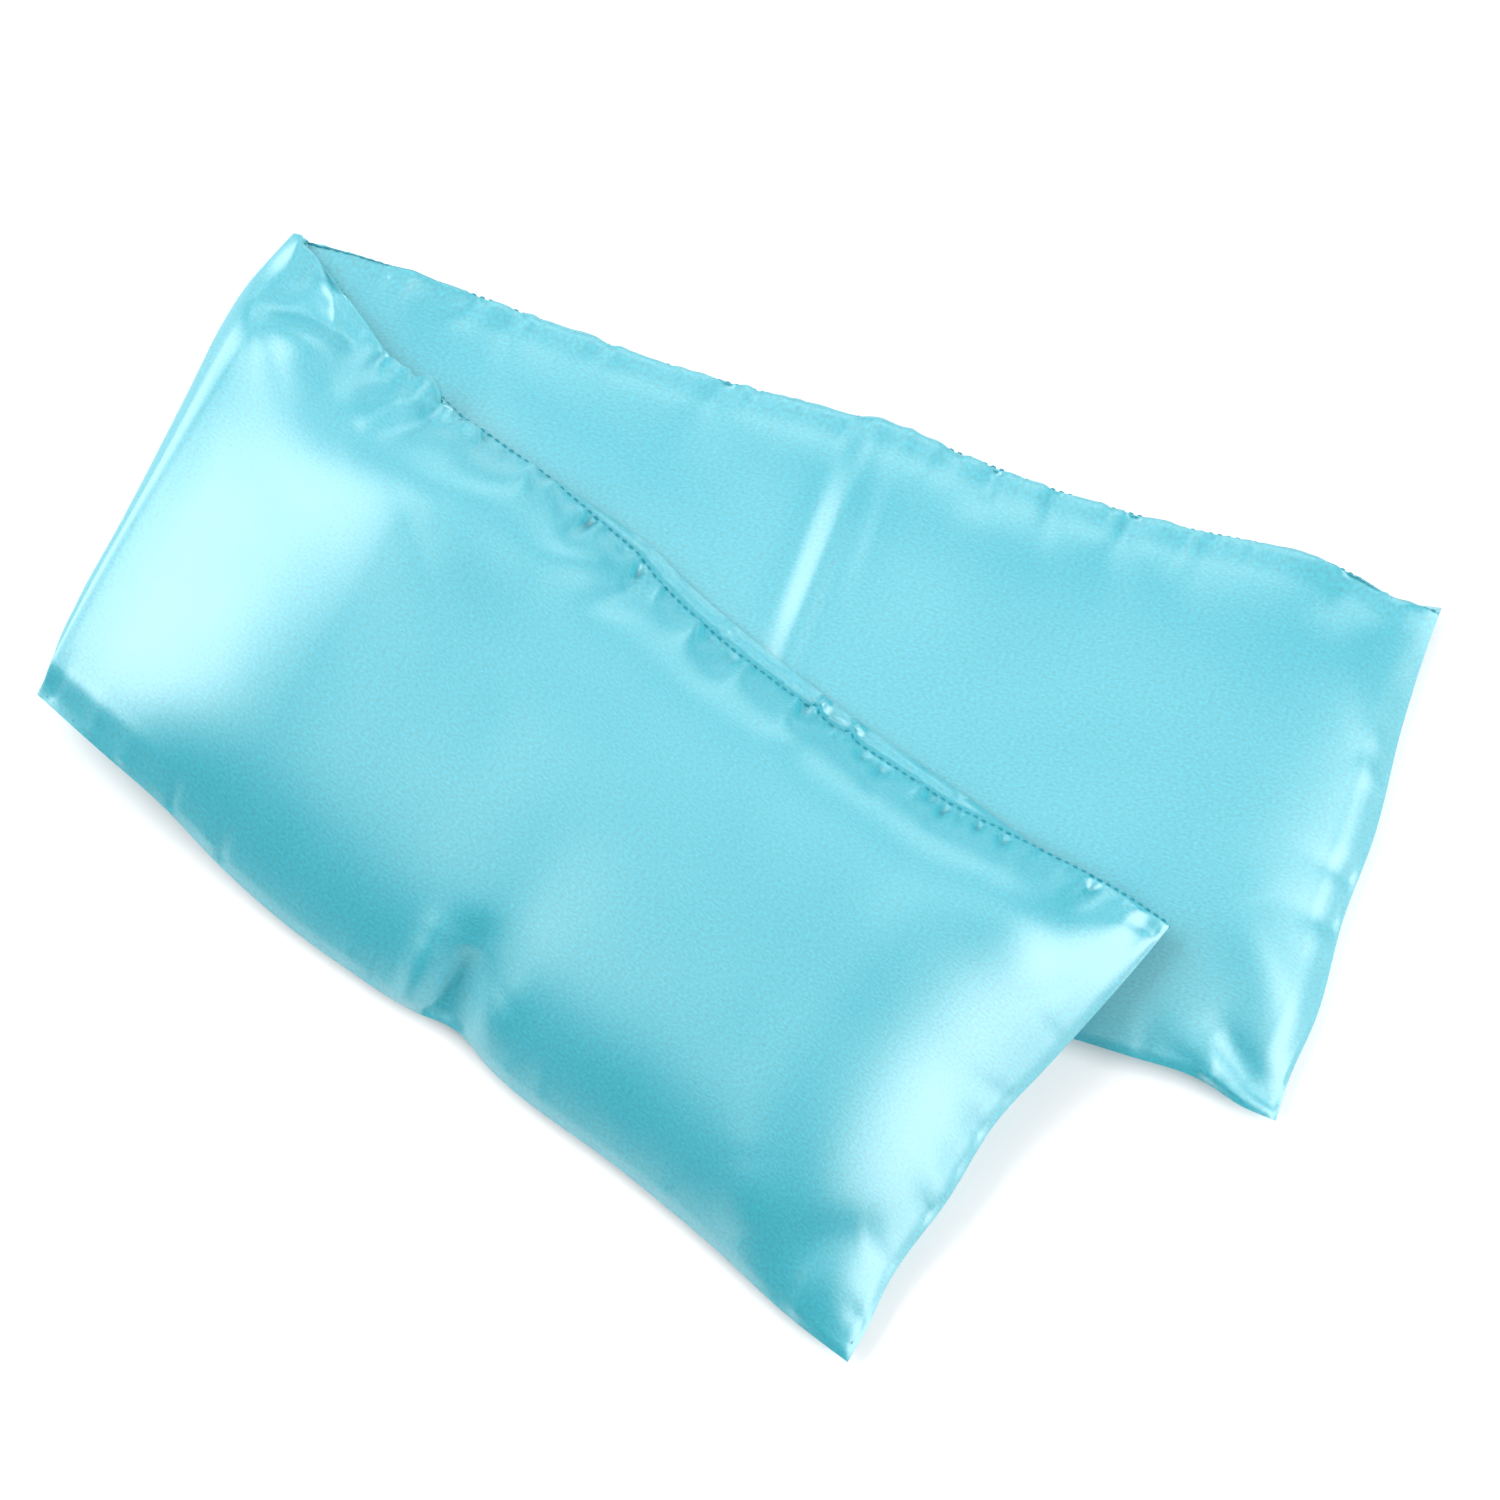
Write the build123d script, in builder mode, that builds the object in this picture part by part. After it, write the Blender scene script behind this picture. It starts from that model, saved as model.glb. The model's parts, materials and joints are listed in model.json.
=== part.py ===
"""A long seed-filled satin eye pillow, lying folded over itself along a slanted line.

Millimetres, +Z up.  The origin is the middle of the lower half's rest face, +X runs along the
lower half from the fold to its free end, and +Y points to the topstitched closing edge.
"""

import os
from math import cos, radians, sin, tan

from build123d import *

os.makedirs("parts", exist_ok=True)

# Driving dimensions
WIDTH = 115.0  # flat width between the long seams
LOWER_LENGTH = 271.0  # fold line to free end, along the middle
UPPER_LENGTH = 234.0
FOLD_SKEW = 10.4  # degrees that the fold line is off square
FOLD_X = -136.0  # where the fold line crosses the lower half's middle
FOLD_HEIGHT = 15.0  # fold axis above the table, at the middle
FOLD_TILT = 2.25  # degrees, the fold axis rising towards the closing edge
SETTLED_SEAM = 6.0  # lower half's seams above the table
END_SEAM = 4.0  # the same at its free end
UPPER_SIDE_LIFT = 4.0  # upper half's turned seam above what it lies on
UPPER_CLOSING_LIFT = 1.6  # the same for its closing edge
EDGE_DROP = 22.0  # distance outside the lower half over which the upper half comes down to the table
LOWER_CROWN = 7.5  # top of the lower half above its seams
LOWER_SAG = 8.0  # how far the underside would bulge below the seams, were there no table
TABLE_CUT = 0.4  # lower panel's extra thickness, cut away flat where it lies on the table
UPPER_CROWN = 17.5  # top of the upper half above the line between its seams
SATIN = 0.5  # panel thickness, with its turned edge
LINER = 0.3
LAYER_GAP = 0.6  # between one layer and the next
LINER_MARGIN = 6.0  # liner edge inside the cover's seams
FILL_MARGIN = 8.0
TABLE_GAP = 0.6  # least height of the upper half's underside, before its gap is added
BED_GAP = 1.6  # between the lower half's top and the upper half's underside
FOLD_GAP = 0.8  # inner panel to the fold axis
FOLD_BULGE = 6.0  # outer panel beyond its distance at the fold's tips
FOLD_TIP = 2.8  # outer panel to the fold axis at the tips
SIDE_LANDING = 0.5  # share of the half width in which the upper underside leaves its seams
END_LANDING = 0.12  # share of the length in which it leaves the free end's seam
END_RISE = 45.0  # length over which a half fills out from its free end
END_ROUNDNESS = 2.5  # the higher, the steeper at the end seam and the flatter beyond
FOLD_RISE = 55.0  # length over which it fills out from the fold
STITCH_INSET = 4.8  # closing topstitch from the edge
THREAD = 0.4  # thread diameter
SEAM_INSET = 1.2  # turned seams' thread from the edge
CLEAR_OF_PANEL = 0.35  # middle of the closing thread to the panel's face

HALF_WIDTH = WIDTH / 2
AXIS_DIRECTION = Vector(
    sin(radians(FOLD_SKEW)) * cos(radians(FOLD_TILT)),
    cos(radians(FOLD_SKEW)) * cos(radians(FOLD_TILT)),
    sin(radians(FOLD_TILT)),
)
FOLD_AXIS = Axis((FOLD_X, 0, FOLD_HEIGHT), AXIS_DIRECTION)

# Each half as: name, length, and the heading of its middle line in degrees from +X
LOWER = ("lower", LOWER_LENGTH, 0.0)
UPPER = ("upper", UPPER_LENGTH, -2 * FOLD_SKEW)

# Shares of the length where a section is drawn, closer together where the shape changes fast
STATIONS = (0.0, 0.05, 0.1, 0.15, 0.2, 0.28, 0.4, 0.55, 0.7, 0.8, 0.87, 0.92, 0.96, 1.0)
# Shares of the half width where each section's curves are worked out
ACROSS = (-1.0, -0.9, -0.75, -0.5, -0.25, 0.0, 0.25, 0.5, 0.75, 0.9, 1.0)


def ease(x):
    """0 below 0, 1 above 1, smooth between."""
    x = min(max(x, 0.0), 1.0)
    return x * x * (3 - 2 * x)


def mix(a, b, share):
    """Part way from a to b."""
    return a + (b - a) * share


def slant(half, share):
    """Degrees from +Y of the section line: along the fold at the fold, square at the free end."""
    square = -half[2]
    return mix(FOLD_SKEW, square, share)


def plan_point(half, share, across):
    """Plan place of a point, from its share of the length and of the half width."""
    heading = radians(half[2])
    line = radians(slant(half, share))
    reach = across * HALF_WIDTH / cos(line + heading)
    x = FOLD_X + half[1] * share * cos(heading) + reach * sin(line)
    y = half[1] * share * sin(heading) + reach * cos(line)
    return x, y


def axis_height(x, y):
    """Height of the fold axis, level with a plan point."""
    along = (x - FOLD_X) * sin(radians(FOLD_SKEW)) + y * cos(radians(FOLD_SKEW))
    return FOLD_HEIGHT + along * tan(radians(FOLD_TILT))


def fullness(half, share):
    """Share of its full thickness that a half has, from none at the free end."""
    from_end = min((1 - share) * half[1] / END_RISE, 1.0)
    return 1 - (1 - from_end) ** END_ROUNDNESS


def dome(across):
    """Share of the middle's bulge at a place across the width."""
    return 1 - abs(across) ** 3


def fold_reach(across):
    """Outer panel's distance from the fold axis, where it goes round the fold."""
    return FOLD_TIP + FOLD_BULGE * dome(across)


def settled(half, share):
    """0 at the fold line, 1 where the half lies as its own weight puts it."""
    return ease(share * half[1] / FOLD_RISE)


def lower_surfaces(share, across):
    """Heights of the lower half's outer underside and inner top."""
    x, y = plan_point(LOWER, share, across)
    full = fullness(LOWER, share) * dome(across)
    seam = mix(END_SEAM, SETTLED_SEAM, fullness(LOWER, share))
    far_under = seam - SATIN - LOWER_SAG * full
    far_top = seam + SATIN + (LOWER_CROWN - SATIN) * full
    axis = axis_height(x, y)
    done = settled(LOWER, share)
    under = mix(axis - fold_reach(across), far_under, done)
    top = mix(axis - FOLD_GAP, far_top, done)
    return max(under, -TABLE_CUT), top


def bed_height(x, y):
    """Height of what lies under the upper half: the lower half's top, then down to the table."""
    share = min(max((x - FOLD_X) / LOWER_LENGTH, 0.0), 1.0)
    across = min(max(y / HALF_WIDTH, -1.0), 1.0)
    top = lower_surfaces(share, across)[1]
    outside = max(-HALF_WIDTH - y, x - FOLD_X - LOWER_LENGTH, 0.0)
    return mix(top, TABLE_GAP, ease(outside / EDGE_DROP))


def upper_surfaces(share, across):
    """Heights of the upper half's inner underside and outer top."""
    x, y = plan_point(UPPER, share, across)
    ends = []
    for side in (-1, 1):
        edge_x, edge_y = plan_point(UPPER, share, side)
        lift = UPPER_SIDE_LIFT if side < 0 else UPPER_CLOSING_LIFT
        ends.append(bed_height(edge_x, edge_y) + BED_GAP + lift)
    seam = mix(ends[0], ends[1], (across + 1) / 2)
    full = fullness(UPPER, share) * dome(across)
    bed = bed_height(x, y) + BED_GAP
    inward = ease((1 - abs(across)) / SIDE_LANDING) * ease((1 - share) / END_LANDING)
    far_under = mix(seam - SATIN, bed, inward)
    far_top = seam + SATIN + (UPPER_CROWN - SATIN) * full
    axis = axis_height(x, y)
    done = settled(UPPER, share)
    under = mix(axis + FOLD_GAP, far_under, done)
    top = mix(axis + fold_reach(across), far_top, done)
    return under, top


SURFACES = {"lower": lower_surfaces, "upper": upper_surfaces}


def station_plane(half, share):
    """Upright plane across a half: local x towards the closing edge, local y up."""
    line = radians(slant(half, share))
    x, y = plan_point(half, share, 0.0)
    return Plane(origin=(x, y, 0), x_dir=(sin(line), cos(line), 0), z_dir=(cos(line), -sin(line), 0))


def section_face(half, share, width_share, low, high):
    """Face between two heights, each given as a function of the underside and the top."""
    line = radians(slant(half, share) + half[2])
    lows = []
    highs = []
    for across in ACROSS:
        where = across * width_share
        under, top = SURFACES[half[0]](share, where)
        reach = where * HALF_WIDTH / cos(line)
        lows.append((reach, low(under, top)))
        highs.append((reach, high(under, top)))
    with BuildSketch(station_plane(half, share)) as section:
        with BuildLine():
            bottom = Spline(*lows)
            Line(bottom @ 1, highs[-1])
            roof = Spline(*reversed(highs))
            Line(roof @ 1, bottom @ 0)
        make_face()
    return section.sketch


def layer_sections(half, margin, heights):
    """One layer's sections over a whole half, kept in from its free edges by a margin."""
    last = 1 - margin / half[1]
    width_share = 1 - margin / HALF_WIDTH
    return [section_face(half, share * last, width_share, *heights) for share in STATIONS]


def near_under(start, thickness):
    """Heights of a layer lying just above the underside."""
    return lambda u, t: u + start, lambda u, t: u + start + thickness


def near_top(start, thickness):
    """Heights of a layer lying just below the top."""
    return lambda u, t: t - start - thickness, lambda u, t: t - start


def between(start_under, start_top):
    """Heights of the filling between two layers."""
    return lambda u, t: u + start_under, lambda u, t: max(t - start_top, u + start_under + LINER)


def fold_face(width_share, near, far):
    """Face in the upright plane through the fold axis, between two distances below it."""
    nears = []
    fars = []
    for across in ACROSS:
        where = across * width_share
        x, y = plan_point(LOWER, 0.0, where)
        reach = where * HALF_WIDTH / cos(radians(FOLD_SKEW))
        axis = axis_height(x, y)
        nears.append((reach, axis - near(where)))
        fars.append((reach, axis - far(where)))
    with BuildSketch(station_plane(LOWER, 0.0)) as section:
        with BuildLine():
            outside = Spline(*fars)
            Line(outside @ 1, nears[-1])
            inside = Spline(*reversed(nears))
            Line(inside @ 1, outside @ 0)
        make_face()
    return section.sketch


def thread_sections(half, across, height):
    """Small square sections of a thread that follows a long seam."""
    faces = []
    for share in STATIONS[1:-1]:
        line = radians(slant(half, share) + half[2])
        reach = across * HALF_WIDTH / cos(line)
        level = height(*SURFACES[half[0]](share, across))
        with BuildSketch(station_plane(half, share)) as section:
            with Locations((reach, level)):
                Rectangle(THREAD, THREAD)
        faces.append(section.sketch)
    return faces


def end_thread_sections(half):
    """Small square sections of a thread that follows a free end's seam."""
    share = 1 - SEAM_INSET / half[1]
    heading = radians(half[2])
    faces = []
    for across in ACROSS[1:-1]:
        x, y = plan_point(half, share, across)
        under, top = SURFACES[half[0]](share, across)
        plane = Plane(
            origin=(x, y, (under + top) / 2),
            x_dir=(cos(heading), sin(heading), 0),
            z_dir=(-sin(heading), cos(heading), 0),
        )
        with BuildSketch(plane) as section:
            Rectangle(THREAD, THREAD)
        faces.append(section.sketch)
    return faces


OUTER_LINER = SATIN + LAYER_GAP
FILL_START = OUTER_LINER + LINER + LAYER_GAP
HALVES = {"lower": LOWER, "upper": UPPER}


def finish_part(part, label):
    part.label = label
    export_step(part, f"parts/{label}.step")


# Satin panels.  The lower one is cut flat where it lies on the table.
with BuildPart() as lower_outer_panel:
    loft(layer_sections(LOWER, 0.0, near_under(0.0, SATIN + TABLE_CUT)))
    split(bisect_by=Plane.XY, keep=Keep.TOP)
finish_part(lower_outer_panel.part, "lower_outer_panel")

with BuildPart() as lower_inner_panel:
    loft(layer_sections(LOWER, 0.0, near_top(0.0, SATIN)))
finish_part(lower_inner_panel.part, "lower_inner_panel")

with BuildPart() as upper_inner_panel:
    loft(layer_sections(UPPER, 0.0, near_under(0.0, SATIN)))
finish_part(upper_inner_panel.part, "upper_inner_panel")

with BuildPart() as upper_outer_panel:
    loft(layer_sections(UPPER, 0.0, near_top(0.0, SATIN)))
finish_part(upper_outer_panel.part, "upper_outer_panel")

# Cotton liner sheets and the seed between them, in each half
for name, half in HALVES.items():
    cut = TABLE_CUT if name == "lower" else 0.0
    with BuildPart() as under_liner:
        loft(layer_sections(half, LINER_MARGIN, near_under(OUTER_LINER + cut, LINER)))
    with BuildPart() as top_liner:
        loft(layer_sections(half, LINER_MARGIN, near_top(OUTER_LINER, LINER)))
    with BuildPart() as seed_fill:
        loft(layer_sections(half, FILL_MARGIN, between(FILL_START + cut, FILL_START)))
    finish_part(under_liner.part, f"{name}_liner_under")
    finish_part(top_liner.part, f"{name}_liner_top")
    finish_part(seed_fill.part, f"{name}_seed_fill")

# The fold: each layer carried half a turn round the fold axis
FOLD_LAYERS = {
    "fold_outer_panel": (1.0, lambda a: fold_reach(a) - SATIN, fold_reach),
    "fold_liner": (
        1 - LINER_MARGIN / HALF_WIDTH,
        lambda a: fold_reach(a) - OUTER_LINER - LINER,
        lambda a: fold_reach(a) - OUTER_LINER,
    ),
    "fold_seed_fill": (
        1 - FILL_MARGIN / HALF_WIDTH,
        lambda a: FOLD_GAP + FILL_START,
        lambda a: fold_reach(a) - FILL_START,
    ),
    "fold_inner_panel": (1.0, lambda a: FOLD_GAP, lambda a: FOLD_GAP + SATIN),
}
for label, (width_share, near, far) in FOLD_LAYERS.items():
    with BuildPart() as fold_piece:
        add(fold_face(width_share, near, far))
        revolve(axis=FOLD_AXIS, revolution_arc=180)
    finish_part(fold_piece.part, label)

# Threads: the closing topstitch on both faces, and the turned seams' thread between the panels
CLOSING = 1 - STITCH_INSET / HALF_WIDTH
TURNED = 1 - SEAM_INSET / HALF_WIDTH
for name, half in HALVES.items():
    with BuildPart() as closing_thread:
        loft(thread_sections(half, CLOSING, lambda u, t: t + CLEAR_OF_PANEL))
        loft(thread_sections(half, CLOSING, lambda u, t: u - CLEAR_OF_PANEL))
    with BuildPart() as side_thread:
        loft(thread_sections(half, -TURNED, lambda u, t: (u + t) / 2))
    with BuildPart() as end_thread:
        loft(end_thread_sections(half))
    finish_part(closing_thread.part, f"{name}_closing_thread")
    finish_part(side_thread.part, f"{name}_side_seam_thread")
    finish_part(end_thread.part, f"{name}_end_seam_thread")
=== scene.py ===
import json
from math import cos, pi, radians, sin

import bmesh
import bpy
import numpy as np
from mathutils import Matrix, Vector


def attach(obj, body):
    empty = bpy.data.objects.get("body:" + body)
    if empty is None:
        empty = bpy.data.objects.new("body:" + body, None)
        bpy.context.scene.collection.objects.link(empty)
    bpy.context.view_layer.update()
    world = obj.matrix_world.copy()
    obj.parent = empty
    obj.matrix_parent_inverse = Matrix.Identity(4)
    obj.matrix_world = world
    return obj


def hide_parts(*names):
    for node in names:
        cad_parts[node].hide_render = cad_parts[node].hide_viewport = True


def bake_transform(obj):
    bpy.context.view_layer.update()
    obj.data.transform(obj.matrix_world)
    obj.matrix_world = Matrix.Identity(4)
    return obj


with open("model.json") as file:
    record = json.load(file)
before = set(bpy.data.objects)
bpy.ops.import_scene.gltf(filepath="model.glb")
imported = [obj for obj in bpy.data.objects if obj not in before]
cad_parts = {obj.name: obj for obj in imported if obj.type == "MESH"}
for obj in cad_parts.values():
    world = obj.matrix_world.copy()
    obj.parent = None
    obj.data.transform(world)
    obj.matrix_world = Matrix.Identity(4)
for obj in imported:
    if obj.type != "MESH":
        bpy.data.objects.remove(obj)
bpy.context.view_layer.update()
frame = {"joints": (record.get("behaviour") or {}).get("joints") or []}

MM = 0.001

# Driving sizes in millimetres
WIDTH = 115.0
HALF_WIDTH = WIDTH / 2
LOWER_LENGTH = 271.0  # fold line to free end, along the middle
UPPER_LENGTH = 234.0
SETTLED_SEAM = 6.0  # lower half's seams above the table
END_SEAM = 4.0  # the same at its free end
LOWEST_SEAM = 0.9
LOWER_SAG = 8.0  # how far the underside would bulge below the seams, were there no table
LOWER_CROWN = 8.5  # top of the lower half above its seams
UPPER_CROWN = 17.5
UPPER_SIDE_LIFT = 3.6  # upper half's seams above what they lie on
UPPER_CLOSING_LIFT = 1.0
UPPER_SQUARENESS = 4.0  # the higher, the flatter the middle and the steeper the sides
LOWER_SQUARENESS = 3.0
BED_GAP = 1.2  # between the lower half's top and the upper half's underside
TABLE_GAP = 0.2
EDGE_DROP = 36.0  # distance outside the lower half over which the upper half comes down
SIDE_LANDING = 0.4  # share of the half width in which the upper underside leaves its seams
END_LANDING = 0.1  # share of the length in which it leaves the free end's seam
FOLD_GAP = 0.8  # inner panel to the fold axis
FOLD_TIP = 2.8  # outer panel to the fold axis at the tips
FOLD_TIP_RIM = 0.9
FOLD_BULGE = 6.0  # outer panel beyond its distance at the tips
FOLD_RISE = 55.0  # length over which a half fills out from the fold
NEAR_RIM = 7.0
LOWER_END_RISE = 48.0  # length over which a half fills out from its free end
UPPER_END_RISE = 52.0
END_ROUNDNESS = 2.5
END_SEAM_DROP = 6.0
END_SHARE = 0.25  # share of the length over which the end edge's outline is felt
STITCH_INSET = 4.8  # closing topstitch from the edge
FLANGE_FULLY_SHOWS = 5.3  # width at which the flange beyond the topstitch lies flat
EDGE_THICKNESS = 0.5
WRAP = 24.0  # strip length taken by the turn round the fold

joint = next(j for j in frame["joints"] if j["name"] == "fold")
AXIS_POINT = np.array(joint["pos_m"]) / MM
AXIS = -np.array(joint["axis"])
AXIS /= np.linalg.norm(AXIS)
FOLD_X, _, FOLD_HEIGHT = AXIS_POINT
SKEW = float(np.arctan2(AXIS[0], AXIS[1]))
AXIS_RISE = float(AXIS[2] / np.hypot(AXIS[0], AXIS[1]))
LOWER = ("lower", LOWER_LENGTH, 0.0, LOWER_END_RISE, 0.25)
UPPER = ("upper", UPPER_LENGTH, -2 * SKEW, UPPER_END_RISE, 0.0)
FLANGE = 1 - STITCH_INSET / HALF_WIDTH


def ease(x):
    x = np.clip(x, 0.0, 1.0)
    return x * x * (3 - 2 * x)


def mix(a, b, share):
    return a + (b - a) * share


def slant(half, share):
    return mix(SKEW, -half[2], share)


def curve(points):
    """A smooth curve through given (place, value) points."""
    places, values = np.array(points, float).T
    slopes = np.gradient(values, places)

    def value(x):
        x = np.clip(x, places[0], places[-1])
        i = np.clip(np.searchsorted(places, x, side="right") - 1, 0, len(places) - 2)
        step = places[i + 1] - places[i]
        t = (x - places[i]) / step
        return (
            (2 * t**3 - 3 * t**2 + 1) * values[i]
            + (t**3 - 2 * t**2 + t) * step * slopes[i]
            + (3 * t**2 - 2 * t**3) * values[i + 1]
            + (t**3 - t**2) * step * slopes[i + 1]
        )

    return value


# How far the topstitched line and the other edges stand outside the straight strip, by the
# distance from the fold
LOWER_CLOSING_EDGE = curve(
    [(0, 0), (18, 1.5), (41, 2.6), (68, 1.8), (100, 2.2), (126, 3.2), (140, 4.2), (158, 2.4)]
    + [(178, 1.3), (208, 2.0), (236, 4.4), (252, 3.8), (262, 1.4), (271, 2.0)]
)
LOWER_SIDE_EDGE = curve(
    [(0, -1), (60, 0), (200, 0.4), (237, -0.6), (254, -0.6), (264, 2.0), (271, 2.4)]
)
UPPER_CLOSING_EDGE = curve(
    [(0, -1.6), (7, -2.4), (15, -4.9), (21, -7.0), (28, -8.8), (36, -9.6), (46, -9.7), (57, -9.6)]
    + [(70, -9.8), (85, -9.9), (97, -10.2), (111, -12.4), (125, -13.2), (140, -13.0), (154, -12.6)]
    + [(168, -11.4), (182, -10.0), (193, -8.0), (204, -6.0), (218, -3.2), (234, -1.4)]
)
UPPER_SIDE_EDGE = curve(
    [(0, 0.2), (20, 1.2), (38, 1.6), (58, 3.4), (78, 3.8), (92, 3.0), (112, 0.8), (121, -1.6)]
    + [(134, 0.2), (172, -0.8), (195, -0.6), (219, 0.8), (234, 0.4)]
)

# How much of the flange beyond the topstitched line shows, by the distance from the fold
UPPER_FLANGE_SHOWS = curve(
    [(0, 0.2), (48, 0.3), (60, 1.2), (70, 2.0), (84, 3.4), (97, 4.4), (111, 4.9), (125, 5.1)]
    + [(140, 4.9), (154, 4.7), (168, 4.3), (182, 3.9), (193, 2.4), (204, 1.3), (218, 0.4), (234, 0.3)]
)
LOWER_FLANGE_SHOWS = curve(
    [(0, 0.2), (100, 0.4), (128, 1.2), (140, 0.9), (160, 0.4), (252, 0.2), (262, 1.4), (271, 2.4)]
)

# Width of the flattened ear at the fold's closing corner, by the distance from the fold
EAR = curve(
    [(0, 11.2), (7, 10.6), (15, 6.2), (21, 4.4), (28, 2.2), (36, 0.6), (44, 0.0), (234, 0.0)]
)

# How far the free ends stand out, by the share of the half width, and the fold's outer face, by
# the distance from the middle
LOWER_END_EDGE = curve(
    [(-1, 0.4), (-0.85, 0.4), (-0.6, 2.0), (-0.2, 1.2), (0.1, 2.2), (0.5, 0.8), (0.8, 0.8), (1, 1.4)]
)
UPPER_END_EDGE = curve(
    [(-1, 3.0), (-0.85, 1.6), (-0.7, -0.6), (-0.3, -2.0), (0.0, -4.2), (0.3, -3.0)]
    + [(0.8, -1.6), (1, -1.6)]
)
FOLD_OUTWARD = curve(
    [(-58, -2.6), (-50, 0.8), (-36, 2.6), (-18, 3.2), (0, 4.4), (16, 5.8), (28, 7.0)]
    + [(40, 6.8), (47, 5.4), (58, 2.6)]
)
EDGES = {
    "lower": (LOWER_CLOSING_EDGE, LOWER_SIDE_EDGE, LOWER_END_EDGE, LOWER_FLANGE_SHOWS),
    "upper": (UPPER_CLOSING_EDGE, UPPER_SIDE_EDGE, UPPER_END_EDGE, UPPER_FLANGE_SHOWS),
}


def lateral_place(half, place, across):
    """Distance from the strip's middle: the topstitched line follows its edge curve, and the
    flange beyond it shows only as much as it isn't rolled under."""
    closing, side, _, shows = EDGES[half[0]]
    stitched = HALF_WIDTH + closing(place)
    inner = np.minimum(across, FLANGE) / FLANGE * stitched
    flange = np.clip((across - FLANGE) / (1 - FLANGE), 0, 1) * shows(place)
    return np.where(across > 0, inner + flange, across * (HALF_WIDTH + side(place)))


def flange_drop(half, place, across):
    """How far the rolled-under flange hangs below the topstitched line."""
    drop = STITCH_INSET * np.maximum(1 - EDGES[half[0]][3](place) / FLANGE_FULLY_SHOWS, 0)
    return drop * np.clip((across - FLANGE) / (1 - FLANGE), 0, 1)


def plan_point(half, share, across):
    line = slant(half, share)
    place = half[1] * share + 0 * across
    reach = lateral_place(half, place, across) / np.cos(line + half[2])
    end = EDGES[half[0]][2]
    forward = half[1] * share + end(across) * ease((share - 1 + END_SHARE) / END_SHARE)
    x = FOLD_X + forward * np.cos(half[2]) + reach * np.sin(line)
    y = forward * np.sin(half[2]) + reach * np.cos(line)
    return x, y


def axis_height(x, y):
    along = (x - FOLD_X) * sin(SKEW) + y * cos(SKEW)
    return FOLD_HEIGHT + along * AXIS_RISE


def fullness(half, share):
    from_end = np.clip((1 - share) * half[1] / half[3], 0.0, 1.0)
    drop = ease((1 - share) * half[1] / END_SEAM_DROP)
    return mix(1 - (1 - from_end) ** END_ROUNDNESS, drop, half[4])


def dome(across, ear=0.0, squareness=LOWER_SQUARENESS):
    edge = FLANGE * (1 - ear / HALF_WIDTH)
    inside = np.where(across > 0, across / edge, across)
    return 1 - np.clip(np.abs(inside), 0, 1) ** squareness


def near_rim(across):
    """0 at the strip's two long edges, rising to 1 a little way in."""
    return ease((1 - np.abs(across)) * HALF_WIDTH / NEAR_RIM)


def fold_reach(across):
    return mix(FOLD_TIP_RIM, FOLD_TIP + FOLD_BULGE * dome(across, EAR(0)), near_rim(across))


def fold_gap(across):
    return FOLD_GAP * mix(0.3, 1.0, near_rim(across))


def settled(half, share):
    return ease(share * half[1] / FOLD_RISE)


def lower_surfaces(share, across):
    x, y = plan_point(LOWER, share, across)
    place = LOWER_LENGTH * share + 0 * across
    full = fullness(LOWER, share) * dome(across)
    seam = mix(END_SEAM, SETTLED_SEAM, fullness(LOWER, share)) - flange_drop(LOWER, place, across)
    seam = np.maximum(seam, LOWEST_SEAM)
    far_under = seam - EDGE_THICKNESS - LOWER_SAG * full
    far_top = seam + EDGE_THICKNESS + (LOWER_CROWN - EDGE_THICKNESS) * full
    axis = axis_height(x, y)
    done = settled(LOWER, share)
    under = mix(axis - fold_reach(across), far_under, done)
    top = mix(axis - fold_gap(across), far_top, done)
    return np.maximum(under, 0.0), top


def bed_height(x, y):
    share = np.clip((x - FOLD_X) / LOWER_LENGTH, 0.0, 1.0)
    across = np.clip(y / HALF_WIDTH * FLANGE, -1.0, FLANGE)
    top = lower_surfaces(share, across)[1]
    outside = np.maximum(np.maximum(-HALF_WIDTH - y, x - FOLD_X - LOWER_LENGTH), 0.0)
    return mix(top, TABLE_GAP, ease(outside / EDGE_DROP))


def upper_surfaces(share, across):
    x, y = plan_point(UPPER, share, across)
    place = UPPER_LENGTH * share + 0 * across
    ends = []
    for side, lift in ((-1, UPPER_SIDE_LIFT), (1, UPPER_CLOSING_LIFT)):
        edge_x, edge_y = plan_point(UPPER, share, side + 0 * across)
        ends.append(bed_height(edge_x, edge_y) + BED_GAP + lift)
    ends[1] = ends[1] + flange_drop(UPPER, place, 1.0) * settled(UPPER, share)
    seam = mix(ends[0], ends[1], (np.minimum(across / FLANGE, 1) + 1) / 2)
    seam = seam - flange_drop(UPPER, place, across) * settled(UPPER, share)
    full = fullness(UPPER, share) * dome(across, EAR(place), UPPER_SQUARENESS)
    bed = bed_height(x, y) + BED_GAP
    closing = ease((1 - np.abs(across)) / SIDE_LANDING) * ease((1 - share) / END_LANDING)
    far_under = mix(seam - EDGE_THICKNESS, bed, closing)
    far_top = seam + EDGE_THICKNESS + (UPPER_CROWN - EDGE_THICKNESS) * full
    axis = axis_height(x, y)
    done = settled(UPPER, share)
    under = mix(axis + fold_gap(across), far_under, done)
    top = mix(axis + fold_reach(across), far_top, done)
    return under, np.maximum(top, under + 0.2)


def spaced(length, ends, middle, reach):
    """Places from 0 to length, finer near both ends."""
    places = [0.0]
    while places[-1] < length:
        near = min(places[-1], length - places[-1])
        places.append(places[-1] + mix(ends, middle, float(ease(near / reach))))
    places = np.array(places)
    return places * length / places[-1]


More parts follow.
